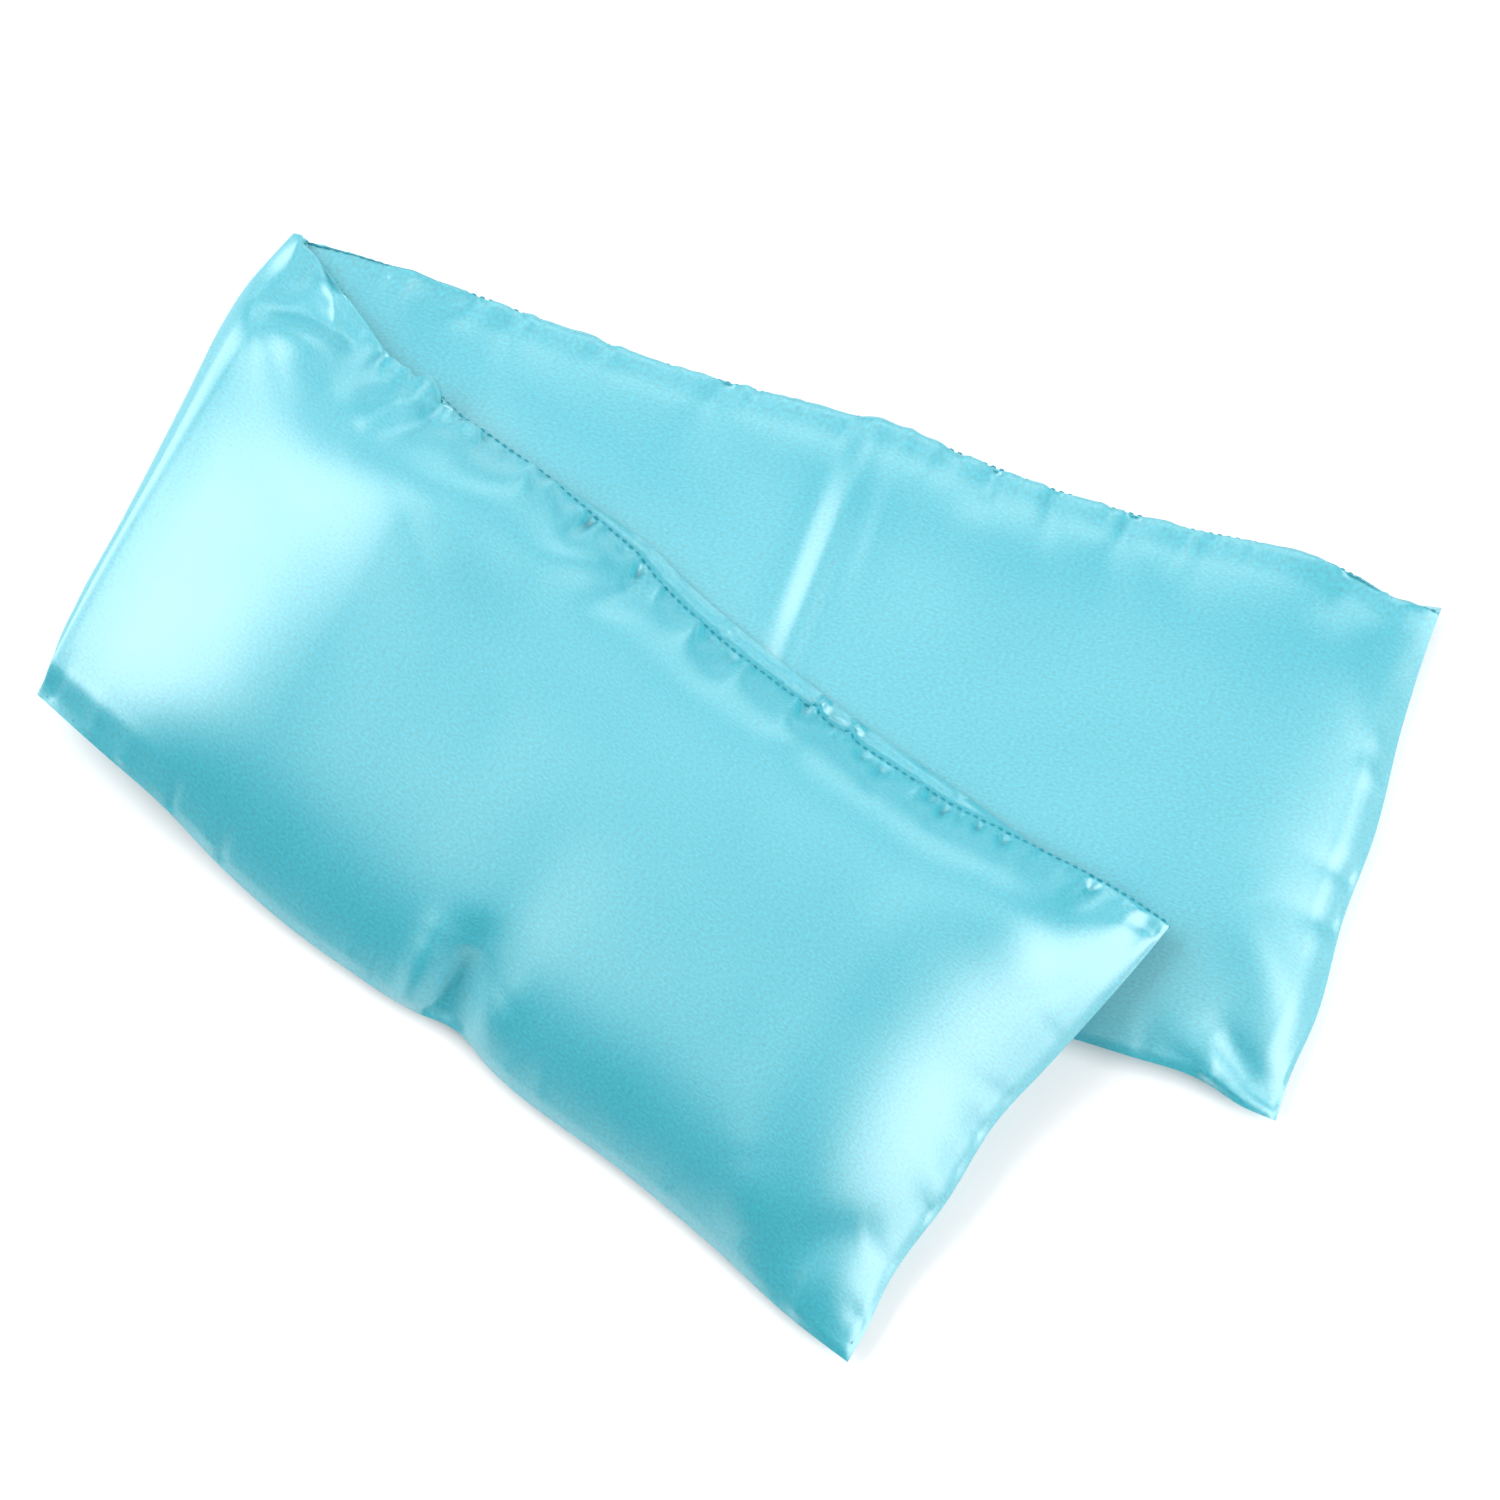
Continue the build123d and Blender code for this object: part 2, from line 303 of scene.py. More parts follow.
ACROSS = spaced(WIDTH, 1.6, 4.2, 20.0) / HALF_WIDTH - 1
STITCHED = int(np.abs(ACROSS - FLANGE).argmin())
ACROSS[STITCHED] = FLANGE
OVERHANG_PLACE = ACROSS[STITCHED - 1]
LOWER_ROWS = spaced(LOWER_LENGTH, 2.0, 4.4, 25.0)[::-1] / LOWER_LENGTH
UPPER_ROWS = spaced(UPPER_LENGTH, 2.0, 4.4, 25.0) / UPPER_LENGTH
TURNS = np.linspace(0, 1, 10)[1:-1]
LOWER_OVERHANG = 2.6
UPPER_OVERHANG = 2.8
UPPER_OVERHANG_FROM = 20.0
UPPER_OVERHANG_TO = 66.0
OVERHANG_WIDTH = 0.028


def overhang(half, share, x, y, reach):
    """The panel bulges out over the topstitched line and hides it from above."""
    edge = np.array(plan_point(half, share, 1.0))
    outward = edge - np.array(plan_point(half, share, 0.8))
    outward /= np.linalg.norm(outward)
    push = reach * np.exp(-(((ACROSS - OVERHANG_PLACE) / OVERHANG_WIDTH) ** 2)) * (ACROSS < FLANGE - 0.001)
    return x + outward[0] * push, y + outward[1] * push


def strip_panel(outer):
    """Points of one satin panel, row by row from the lower half's free end, round the fold,
    to the upper half's free end, with each row's distance along the strip."""
    rows = []
    along = []
    for share in LOWER_ROWS:
        x, y = plan_point(LOWER, share, ACROSS)
        if not outer:
            x, y = overhang(LOWER, share, x, y, LOWER_OVERHANG)
        z = lower_surfaces(share, ACROSS)[0 if outer else 1]
        rows.append(np.stack([x, y, z], 1))
        along.append(share * LOWER_LENGTH + WRAP / 2)
    x, y = plan_point(LOWER, 0.0, ACROSS)
    base = np.stack([x, y, axis_height(x, y)], 1)
    level = np.cross([0, 0, 1.0], AXIS)
    level /= np.linalg.norm(level)
    upright = np.cross(AXIS, level)
    reach = fold_reach(ACROSS) if outer else fold_gap(ACROSS)
    outward = FOLD_OUTWARD(ACROSS * HALF_WIDTH) * (1.0 if outer else 0.1)
    for turn in TURNS:
        angle = pi * turn
        down = -np.cos(angle) * upright * np.sign(upright[2])
        out = np.outer(reach, down) + np.outer(outward, np.sin(angle) * level)
        rows.append(base + out)
        along.append(WRAP / 2 - WRAP * turn)
    for share in UPPER_ROWS:
        x, y = plan_point(UPPER, share, ACROSS)
        if outer:
            place = share * UPPER_LENGTH
            bulge = ease((place - UPPER_OVERHANG_FROM) / 16) * ease((UPPER_OVERHANG_TO - place) / 22)
            x, y = overhang(UPPER, share, x, y, UPPER_OVERHANG * float(bulge))
        z = upper_surfaces(share, ACROSS)[1 if outer else 0]
        rows.append(np.stack([x, y, z], 1))
        along.append(-share * UPPER_LENGTH - WRAP / 2)
    return np.array(rows), np.array(along)


def grid_faces(rows, columns, flip):
    faces = []
    for r in range(rows - 1):
        for c in range(columns - 1):
            a = r * columns + c
            face = (a, a + 1, a + columns + 1, a + columns)
            faces.append(face[::-1] if flip else face)
    return faces


def mesh_object(name, points, faces):
    mesh = bpy.data.meshes.new(name)
    mesh.from_pydata([tuple(p) for p in points], [], faces)
    mesh.update()
    made = bpy.data.objects.new(name, mesh)
    bpy.context.scene.collection.objects.link(made)
    mesh.polygons.foreach_set("use_smooth", [True] * len(mesh.polygons))
    return made


def satin_material(name, colour):
    """Woven satin: saturated threads under a broad pale gloss, with a fine grain of floats."""
    material = bpy.data.materials.new(name)
    material.use_nodes = True
    nodes = material.node_tree.nodes
    links = material.node_tree.links
    shader = nodes["Principled BSDF"]
    shader.inputs["IOR"].default_value = 2.1
    shader.inputs["Specular IOR Level"].default_value = 0.72
    shader.inputs["Anisotropic"].default_value = 0.35
    shader.inputs["Sheen Weight"].default_value = 0.12
    shader.inputs["Sheen Roughness"].default_value = 0.45
    place = nodes.new("ShaderNodeUVMap")
    place.uv_map = "strip"
    tangent = nodes.new("ShaderNodeTangent")
    tangent.direction_type = "UV_MAP"
    tangent.uv_map = "strip"
    links.new(tangent.outputs["Tangent"], shader.inputs["Tangent"])
    stretch = nodes.new("ShaderNodeMapping")
    stretch.inputs["Scale"].default_value = (1100, 2000, 1)
    links.new(place.outputs["UV"], stretch.inputs["Vector"])
    grain = nodes.new("ShaderNodeTexNoise")
    grain.inputs["Scale"].default_value = 1.0
    grain.inputs["Detail"].default_value = 2.0
    links.new(stretch.outputs["Vector"], grain.inputs["Vector"])
    patches = nodes.new("ShaderNodeTexNoise")
    patches.inputs["Scale"].default_value = 60.0
    patches.inputs["Detail"].default_value = 3.0
    links.new(place.outputs["UV"], patches.inputs["Vector"])
    tint = nodes.new("ShaderNodeMix")
    tint.data_type = "RGBA"
    tint.inputs["A"].default_value = (*[c * 0.56 for c in colour], 1)
    tint.inputs["B"].default_value = (*[min(c * 1.44, 1) for c in colour], 1)
    links.new(grain.outputs["Fac"], tint.inputs["Factor"])
    links.new(tint.outputs["Result"], shader.inputs["Base Color"])
    rough = nodes.new("ShaderNodeMapRange")
    rough.inputs["To Min"].default_value = 0.38
    rough.inputs["To Max"].default_value = 0.46
    links.new(patches.outputs["Fac"], rough.inputs["Value"])
    links.new(rough.outputs["Result"], shader.inputs["Roughness"])
    bump = nodes.new("ShaderNodeBump")
    bump.inputs["Strength"].default_value = 0.12
    bump.inputs["Distance"].default_value = 0.0002
    links.new(grain.outputs["Fac"], bump.inputs["Height"])
    links.new(bump.outputs["Normal"], shader.inputs["Normal"])
    return material


SATIN = satin_material("satin", (0.011, 0.372, 0.462))


HOLD_EDGE = 24.0


def held(panel_name, points, along):
    """How firmly the simulation holds each point: the seams, the flange and what lies against the
    table or the other half are held, and the open faces are free."""
    hold = np.ones(points.shape[:2])
    if panel_name == "outer_panel":
        hold[:] = ease((along[:, None] + 6.0) / HOLD_EDGE)
    else:
        covered = under_upper(points[..., 0], points[..., 1])
        hold[:] = np.where(along[:, None] > WRAP / 2, covered, 1.0)
    hold[:, STITCHED:] = 1.0
    hold[:, [0, -1]] = 1.0
    hold[[0, -1], :] = 1.0
    return hold


def under_upper(x, y):
    """1 where a plan point is covered by the upper half, falling to 0 just outside it."""
    forward = (x - FOLD_X) * cos(2 * SKEW) - y * sin(2 * SKEW)
    sideways = (x - FOLD_X) * sin(2 * SKEW) + y * cos(2 * SKEW)
    inside = np.minimum(HALF_WIDTH - np.abs(sideways), UPPER_LENGTH - forward)
    return ease((inside + HOLD_EDGE) / HOLD_EDGE)


def puff(panel, hold, gather, frames, pressure, slack, cap):
    """Lets the cloth bulge and gather between its seams, then bakes the result."""
    start = np.array([v.co for v in panel.data.vertices])
    group = panel.vertex_groups.new(name="hold")
    for index, weight in enumerate(hold.ravel()):
        group.add([index], float(weight), "REPLACE")
    cloth = panel.modifiers.new("cloth", "CLOTH")
    settings = cloth.settings
    settings.quality = 7
    settings.mass = 0.12
    settings.tension_stiffness = 12
    settings.compression_stiffness = 12
    settings.shear_stiffness = 4
    settings.bending_stiffness = 0.4
    settings.air_damping = 3
    settings.use_pressure = True
    settings.uniform_pressure_force = pressure
    loose = panel.vertex_groups.new(name="loose")
    for index, weight in enumerate(gather.ravel()):
        loose.add([index], float(weight), "REPLACE")
    settings.vertex_group_shrink = "loose"
    settings.shrink_min = 0.0
    settings.shrink_max = -slack
    settings.vertex_group_mass = "hold"
    settings.pin_stiffness = 5
    settings.effector_weights.gravity = 0
    cloth.collision_settings.use_collision = False
    cloth.collision_settings.use_self_collision = False
    cloth.point_cache.frame_start = 1
    cloth.point_cache.frame_end = frames
    for frame_number in range(1, frames + 1):
        bpy.context.scene.frame_set(frame_number)
    graph = bpy.context.evaluated_depsgraph_get()
    result = panel.evaluated_get(graph)
    end = np.array([v.co for v in result.data.vertices])
    panel.modifiers.remove(cloth)
    panel.vertex_groups.clear()
    bpy.context.scene.frame_set(1)
    move = end - start
    far = np.linalg.norm(move, axis=1, keepdims=True)
    return start + move * cap * np.tanh(far / cap) / np.maximum(far, 1e-9)


SOFTENINGS = 2


def softened(shift):
    """The grid's movement without its sharpest wrinkles."""
    for _ in range(SOFTENINGS):
        down = shift[:-2] + 2 * shift[1:-1] + shift[2:]
        shift[1:-1, 1:-1] = (down[:, :-2] + 2 * down[:, 1:-1] + down[:, 2:]) / 16
    return shift


def refine(grid):
    """Catmull-Rom interpolation of a grid, with new rows and columns between the old ones."""
    for times in (REFINE_ALONG, REFINE_ACROSS):
        before = np.concatenate([2 * grid[:1] - grid[1:2], grid[:-1]])[:-1]
        after = np.concatenate([grid[1:], 2 * grid[-1:] - grid[-2:-1]])[1:]
        start, end = grid[:-1], grid[1:]
        parts = []
        for step in range(times):
            t = step / times
            bent = (end - before) * t + (2 * before - 5 * start + 4 * end - after) * t * t
            parts.append(start + 0.5 * (bent + (3 * start - before - 3 * end + after) * t**3))
        fine = np.stack(parts, 1).reshape(-1, *grid.shape[1:])
        grid = np.swapaxes(np.concatenate([fine, grid[-1:]]), 0, 1)
    return grid


def grid_normals(grid):
    along = np.gradient(grid, axis=0)
    across = np.gradient(grid, axis=1)
    normal = np.cross(across, along)
    return normal / np.maximum(np.linalg.norm(normal, axis=2, keepdims=True), 1e-9)


def strip_object(name, grid, flat, flip):
    """A mesh from a grid of points in millimetres, with a UV map from its places on the flat strip."""
    rows, columns = grid.shape[:2]
    made = mesh_object(name, grid.reshape(-1, 3) * MM, grid_faces(rows, columns, flip))
    uv = made.data.uv_layers.new(name="strip")
    corner = np.zeros(len(made.data.loops), int)
    made.data.loops.foreach_get("vertex_index", corner)
    uv.data.foreach_set("uv", (flat.reshape(-1, 3)[corner][:, :2] * MM).astype(np.float32).ravel())
    blend_flat(made, flat)
    return made


def finish_soft(piece, material, slot, *nodes):
    piece.data.materials.append(material)
    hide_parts(*nodes)


def blend_flat(made, flat):
    """Puts each point at its place on the flat strip, bakes the object's transform into the mesh, then
    puts the points back where they were.
    """
    shaped = np.zeros(len(made.data.vertices) * 3)
    made.data.vertices.foreach_get("co", shaped)
    made.data.vertices.foreach_set("co", (flat.reshape(-1, 3) * MM).ravel())
    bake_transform(made)
    made.data.vertices.foreach_set("co", shaped)
    made.data.update()


def pucker_line(start, end, spacing, height, reach):
    """Small folds across a seam: their places, heights, widths and reach into the panel."""
    places = [start]
    while places[-1] < end:
        places.append(places[-1] + spacing * rng.uniform(0.45, 1.7))
    count = len(places)
    return list(
        zip(
            places,
            height * rng.uniform(-1.0, 0.75, count),
            rng.uniform(0.8, 1.7, count),
            reach * rng.uniform(0.4, 1.5, count),
            rng.uniform(-0.35, 0.35, count),
        )
    )


def pucker_height(puckers, along, depth):
    """Height of a seam's puckers at a distance along it and a depth in from it."""
    total = np.zeros(np.broadcast(along, depth).shape)
    rise = ease(depth / 1.6)
    for place, height, width, reach, lean in puckers:
        spread = width * (1 + 0.09 * depth)
        total += height * np.exp(-(((along - place - lean * depth) / spread) ** 2) - (depth / reach) ** 2)
    return total * rise


def ridge(along, lateral, start, end, width, height):
    """A soft ridge, or a valley if height is negative, between two places on the flat strip."""
    ax, ay = start
    dx, dy = end[0] - ax, end[1] - ay
    share = np.clip(((along - ax) * dx + (lateral - ay) * dy) / (dx * dx + dy * dy), 0, 1)
    far = np.hypot(along - ax - share * dx, lateral - ay - share * dy)
    return height * np.exp(-((far / width) ** 2)) * np.sin(pi * (0.15 + 0.7 * share))


# Folds and dents: start and end as (along, lateral) in millimetres, width, height.
# The upper half's places along the strip are negative.
OUTER_RIDGES = (
    ((-130.5, -57), (-128, -42), 5.0, -3.2),
    ((-122, -58), (-120, -44), 4.0, 1.6),
    ((-140, -57), (-142, -46), 5.0, 1.2),
    ((-54, 52), (-46, 36), 3.2, 1.5),
    ((-49, 54), (-38, 40), 4.0, -1.6),
    ((-62, 51), (-52, 38), 3.5, -1.0),
    ((-30, 47), (-20, 30), 7.0, 1.6),
    ((-24, 55), (-16, 42), 4.0, -1.8),
    ((-84, 50), (-70, 30), 6.0, 0.9),
    ((-108, 50), (-96, 34), 5.0, 1.3),
    ((-116, 50), (-110, 36), 4.0, -1.1),
    ((-158.5, 51.0), (-159.5, 58), 0.8, 1.9),
    ((-167.5, 51.0), (-168.5, 58), 0.9, 1.7),
    ((-163, 52), (-163, 58), 1.6, -0.5),
    ((-93, 50), (-72, 18), 13.0, 1.7),
    ((-10, 36), (-32, 47.5), 2.6, -1.0),
    ((-14, 30), (-36, 43), 6.0, 1.3),
    ((-18.5, 50.8), (-23.5, 50.0), 0.7, 0.5),
    ((-23.5, 50.0), (-27.5, 46.0), 0.7, 0.5),
    ((-66, 46), (-44, 30), 9.0, -0.9),
    ((-160, 50), (-158, 36), 4.0, 0.8),
    ((-212, 40), (-236, 26), 9.0, 1.4),
    ((-222, -50), (-236, -36), 5.0, -1.4),
    ((-214, -52), (-206, -40), 6.0, 1.0),
)
INNER_RIDGES = (
    ((148, 56), (153, -12), 3.4, 1.0),
    ((156, 56), (160, 20), 2.4, 0.3),
    ((143, 50), (146, 10), 3.5, -0.7),
    ((60, 50), (90, 20), 14.0, 0.8),
    ((262, 40), (276, 20), 8.0, 0.9),
    ((262, -20), (280, -44), 7.0, 1.4),
    ((281, -54), (266, -46), 3.5, -1.1),
    ((273, -56), (258, -50), 3.0, 0.8),
    ((196, 10), (222, 40), 15.0, -0.8),
    ((206, -10), (240, 4), 13.0, -0.6),
    ((176, 46), (190, 8), 13.0, 0.6),
    ((100, 52), (122, 30), 12.0, -0.6),
    ((270, 54), (258, 44), 5.0, -1.0),
)

# Where the ear is, by the distance along the strip: it lies flat and has no puckers
EAR_CALM = curve([(-50, 0), (-36, 0.6), (-22, 1), (-6, 1), (4, 0.5), (14, 0)])

REFINE_ALONG = 6
REFINE_ACROSS = 3
PANELS = {"outer_panel": True, "inner_panel": False}
coarse = {}
flats = {}
for name, outer in PANELS.items():
    points, along = strip_panel(outer)
    rows, columns = points.shape[:2]
    flat = np.stack(
        [np.repeat(along, columns), np.tile(ACROSS * HALF_WIDTH, rows), np.zeros(rows * columns)], 1
    )
    coarse[name] = points
    flats[name] = flat.reshape(rows, columns, 3)

# The two panels meet all round the edge
for place in (np.s_[:, 0], np.s_[:, -1], np.s_[0, :], np.s_[-1, :]):
    meeting = (coarse["outer_panel"][place] + coarse["inner_panel"][place]) / 2
    coarse["outer_panel"][place] = meeting
    coarse["inner_panel"][place] = meeting


# The cloth simulation: frames, inside pressure, shrinking along the seams, and the farthest that
# a point may move, in metres
SIM_FRAMES = 14
SIM_PRESSURE = 1.2
SIM_SLACK = 0.012
SIM_CAP = 0.005
GATHER_REACH = 12.0
SIDE_GATHER = 0.6
END_GATHER = 0.8
END_GATHER_REACH = 14.0
for name, outer in PANELS.items():
    points = coarse[name]
    rows, columns = points.shape[:2]
    panel = mesh_object(name, points.reshape(-1, 3) * MM, grid_faces(rows, columns, outer))
    along = flats[name][:, 0, 0]
    hold = held(name, points, along)
    lateral = ACROSS * HALF_WIDTH
    from_closing = np.abs(FLANGE * HALF_WIDTH - lateral)
    from_side = lateral + HALF_WIDTH
    from_end = np.minimum(along.max() - along, along - along.min())
    gather = np.exp(-((from_closing / GATHER_REACH) ** 2))
    gather += SIDE_GATHER * np.exp(-((from_side / GATHER_REACH) ** 2))
    end_gather = END_GATHER * np.exp(-((from_end / END_GATHER_REACH) ** 2))
    gather = np.clip(gather[None, :] + end_gather[:, None], 0, 1)
    moved = puff(panel, hold, gather, SIM_FRAMES, SIM_PRESSURE, SIM_SLACK, SIM_CAP)
    coarse[name] = points + softened(moved.reshape(rows, columns, 3) / MM - points)
    bpy.data.objects.remove(panel)

rng = np.random.default_rng(7)
STRIP_START = -UPPER_LENGTH - WRAP / 2
STRIP_END = LOWER_LENGTH + WRAP / 2
EAR_CALM_INSIDE = 30.0
PLAIN_RIM = 1.2
LEAST_HEIGHT = 0.05

# Puckers along a seam: spacing, height on the outer and on the inner panel, reach into the panel
CLOSING_PUCKERS = (4.2, 2.9, 0.6, 5.5)
FLANGE_PUCKERS = (5.0, 0.85, 0.85, 9.0)
SIDE_PUCKERS = (9.0, 0.6, 0.6, 7.0)
BROAD_PUCKERS = (12.0, 2.0, 0.9, 12.0)
END_PUCKERS = (9.0, 0.7, 0.7, 8.0)
BROADER = 2.1


def seam_puckers(kind, outer, start=STRIP_START, end=STRIP_END):
    spacing, outer_height, inner_height, reach = kind
    return pucker_line(start, end, spacing, outer_height if outer else inner_height, reach)


grids = {}
for name, outer in PANELS.items():
    grid = refine(coarse[name])
    flat = refine(flats[name])
    along, lateral = flat[..., 0], flat[..., 1]
    normal = grid_normals(grid) * (-1 if outer else 1)
    inside = FLANGE * HALF_WIDTH - lateral
    closing = seam_puckers(CLOSING_PUCKERS, outer)
    flange = seam_puckers(FLANGE_PUCKERS, outer)
    side = seam_puckers(SIDE_PUCKERS, outer)
    height = pucker_height(closing, along, np.maximum(inside, 0)) * (inside > 0)
    height *= ease((np.minimum(along - STRIP_START, STRIP_END - along) - 4) / 28)
    broad = seam_puckers(BROAD_PUCKERS, outer)
    broad = [(place, rise, BROADER * width, *rest) for place, rise, width, *rest in broad]
    height += pucker_height(broad, along, np.maximum(inside, 0)) * (inside > 0)
    height += pucker_height(flange, along, np.maximum(-inside, 0)) * (inside < 0)
    height += pucker_height(side, along, lateral + HALF_WIDTH)
    for end_place in (STRIP_START, STRIP_END):
        ends = seam_puckers(END_PUCKERS, outer, -HALF_WIDTH, HALF_WIDTH)
        height += pucker_height(ends, lateral, np.abs(along - end_place))
    if outer:
        height *= 1 - EAR_CALM(along) * ease((lateral - EAR_CALM_INSIDE) / 10)
    for start, end, width, rise in OUTER_RIDGES if outer else INNER_RIDGES:
        height += ridge(along, lateral, start, end, width, rise)
    rim = np.minimum(lateral + HALF_WIDTH, HALF_WIDTH - lateral)
    rim = np.minimum(rim, np.minimum(along - STRIP_START, STRIP_END - along))
    height *= ease(rim / PLAIN_RIM)
    grids[name] = grid + normal * height[..., None]
    grids[name][..., 2] = np.maximum(grids[name][..., 2], LEAST_HEIGHT)
    flats[name] = flat

for name, outer in PANELS.items():
    panel = strip_object(name, grids[name], flats[name], outer)
    finish_soft(panel, SATIN, "satin", "lower_" + name, "fold_" + name, "upper_" + name)

THREAD_RADIUS = 0.21
STITCH_PITCH = 2.0
STITCH_LENGTH = 1.35
SEAM_INSET = 1.2
EAR_LENGTH = 50.0
STITCH_SIDES = 6

# Rings of one stitch: share of its length, height above the cloth, girth
STITCH_RINGS = (
    (0.0, -0.28, 0.55),
    (0.14, 0.02, 1.0),
    (0.5, 0.12, 1.05),
    (0.86, 0.02, 1.0),
    (1.0, -0.28, 0.55),
)


def stitch_row(path, normals, flat):
    """Running stitches along a path, each sinking into the cloth at both ends."""
    step = np.linalg.norm(np.diff(path, axis=0), axis=1)
    run = np.concatenate([[0], np.cumsum(step)])

    def at(values, place):
        return np.stack([np.interp(place, run, values[:, i]) for i in range(3)], -1)

    starts = np.arange(1.0, run[-1] - STITCH_PITCH, STITCH_PITCH)
    points, flats_made, faces = [], [], []
    turns = np.arange(STITCH_SIDES) * 2 * pi / STITCH_SIDES
    for start in starts:
        first = len(points)
        for share, lift, girth in STITCH_RINGS:
            place = start + share * STITCH_LENGTH
            centre = at(path, place)
            ahead = at(path, place + 0.3) - at(path, place - 0.3)
            ahead /= max(np.linalg.norm(ahead), 1e-9)
            up = at(normals, place)
            up /= max(np.linalg.norm(up), 1e-9)
            side = np.cross(ahead, up)
            for turn in turns:
                off = girth * THREAD_RADIUS * (np.cos(turn) * side + np.sin(turn) * up)
                points.append(centre + up * lift + off)
                flats_made.append(at(flat, place))
        for ring in range(len(STITCH_RINGS) - 1):
            for k in range(STITCH_SIDES):
                a = first + ring * STITCH_SIDES + k
                b = first + ring * STITCH_SIDES + (k + 1) % STITCH_SIDES
                faces.append((a, b, b + STITCH_SIDES, a + STITCH_SIDES))
        last = first + (len(STITCH_RINGS) - 1) * STITCH_SIDES
        faces.append(tuple(range(first + STITCH_SIDES - 1, first - 1, -1)))
        faces.append(tuple(range(last, last + STITCH_SIDES)))
    return points, flats_made, faces


def thread_object(name, rows):
    points, flats_made, faces = [], [], []
    for row_points, row_flats, row_faces in rows:
        faces += [tuple(i + len(points) for i in face) for face in row_faces]
        points += row_points
        flats_made += row_flats
    made = mesh_object(name, np.array(points) * MM, faces)
    made.data.materials.append(THREAD)
    return made, np.array(flats_made)


def plain_material(name, colour, roughness, grain_scale, grain_depth):
    """A matt fibrous finish with a fine mottle."""
    material = bpy.data.materials.new(name)
    material.use_nodes = True
    nodes = material.node_tree.nodes
    links = material.node_tree.links
    shader = nodes["Principled BSDF"]
    shader.inputs["Roughness"].default_value = roughness
    shader.inputs["Sheen Weight"].default_value = 0.2
    place = nodes.new("ShaderNodeTexCoord")
    grain = nodes.new("ShaderNodeTexNoise")
    grain.inputs["Scale"].default_value = grain_scale
    links.new(place.outputs["Object"], grain.inputs["Vector"])
    tint = nodes.new("ShaderNodeMix")
    tint.data_type = "RGBA"
    tint.inputs["A"].default_value = (*[c * 0.75 for c in colour], 1)
    tint.inputs["B"].default_value = (*[min(c * 1.15, 1) for c in colour], 1)
    links.new(grain.outputs["Fac"], tint.inputs["Factor"])
    links.new(tint.outputs["Result"], shader.inputs["Base Color"])
    bump = nodes.new("ShaderNodeBump")
    bump.inputs["Strength"].default_value = 0.4
    bump.inputs["Distance"].default_value = grain_depth
    links.new(grain.outputs["Fac"], bump.inputs["Height"])
    links.new(bump.outputs["Normal"], shader.inputs["Normal"])
    return material


THREAD = plain_material("thread", (0.012, 0.29, 0.37), 0.45, 2500, 0.0001)
COTTON = plain_material("liner_cotton", (0.80, 0.79, 0.75), 0.85, 1800, 0.0002)
SEED = plain_material("flax_seed", (0.24, 0.12, 0.05), 0.5, 450, 0.0006)

faces_out = {}
for name, outer in PANELS.items():
    faces_out[name] = grid_normals(grids[name]) * (-1 if outer else 1)
stitched_column = STITCHED * REFINE_ACROSS
closing_rows = []
for name, outer in PANELS.items():
    along = flats[name][:, stitched_column, 0]
    spans = (along > 14, along < -EAR_LENGTH) if outer else (along > STRIP_START,)
    for span in spans:
        out = faces_out[name][span, stitched_column]
        path = grids[name][span, stitched_column] + 0.12 * out
        closing_rows.append(stitch_row(path, out, flats[name][span, stitched_column]))
closing_thread, closing_flat = thread_object("closing_thread", closing_rows)
blend_flat(closing_thread, closing_flat)
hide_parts("lower_closing_thread", "upper_closing_thread")

middle = (grids["outer_panel"] + grids["inner_panel"]) / 2
flat = flats["outer_panel"]
depth_in = (flat[0, :, 1] + HALF_WIDTH, np.abs(flat[:, 0, 0] - STRIP_END), flat[:, 0, 0] - STRIP_START)
side_column, lower_row, upper_row = (int(np.abs(depth - SEAM_INSET).argmin()) for depth in depth_in)
inset = slice(4, -4)
out = faces_out["outer_panel"]


def seam_thread(name, place):
    """Stitches midway between the two panels, along one line of the grid."""
    return thread_object(name, [stitch_row(middle[place], out[place], flat[place])])


side_thread, side_flat = seam_thread("side_seam_thread", (inset, side_column))
blend_flat(side_thread, side_flat)
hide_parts("lower_side_seam_thread", "upper_side_seam_thread")
for half, row in (("lower", lower_row), ("upper", upper_row)):
    end_thread, _ = seam_thread(half + "_end_seam_thread", (row, inset))
    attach(end_thread, half + "_half")
    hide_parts(half + "_end_seam_thread")

LINER_MARGIN = 12.0
FILL_MARGIN = 14.0
EAR_MARGIN = 9.0
LINER_GAP = 1.0
FILL_GAP = 1.6
LAYER_RIM = 8.0


def inside_layer(margin, gap, rim_width):
    """Two surfaces inside the satin, a gap in from each panel, that meet at a rim."""
    outer = grids["outer_panel"][::REFINE_ALONG, ::REFINE_ACROSS]
    inner = grids["inner_panel"][::REFINE_ALONG, ::REFINE_ACROSS]
    place = flats["outer_panel"][::REFINE_ALONG, ::REFINE_ACROSS]
    rim = np.minimum(HALF_WIDTH - np.abs(place[..., 1]), place[..., 0] - STRIP_START)
    rim = np.minimum(rim, STRIP_END - place[..., 0])
    ear = EAR_MARGIN * EAR_CALM(place[..., 0])
    rim = np.minimum(rim, HALF_WIDTH - ear - place[..., 1])
    rows = rim.max(axis=1) >= margin
    columns = rim.max(axis=0) >= margin
    outer, inner, place, rim = (a[rows][:, columns] for a in (outer, inner, place, rim))
    thickness = np.linalg.norm(outer - inner, axis=2)
    share = np.minimum(gap / np.maximum(thickness, 0.1), 0.4)
    share = mix(0.5, share, ease((rim - margin) / rim_width))
    share[[0, -1], :] = 0.5
    share[:, [0, -1]] = 0.5
    share = share[..., None]
    return mix(outer, inner, share), mix(inner, outer, share), place


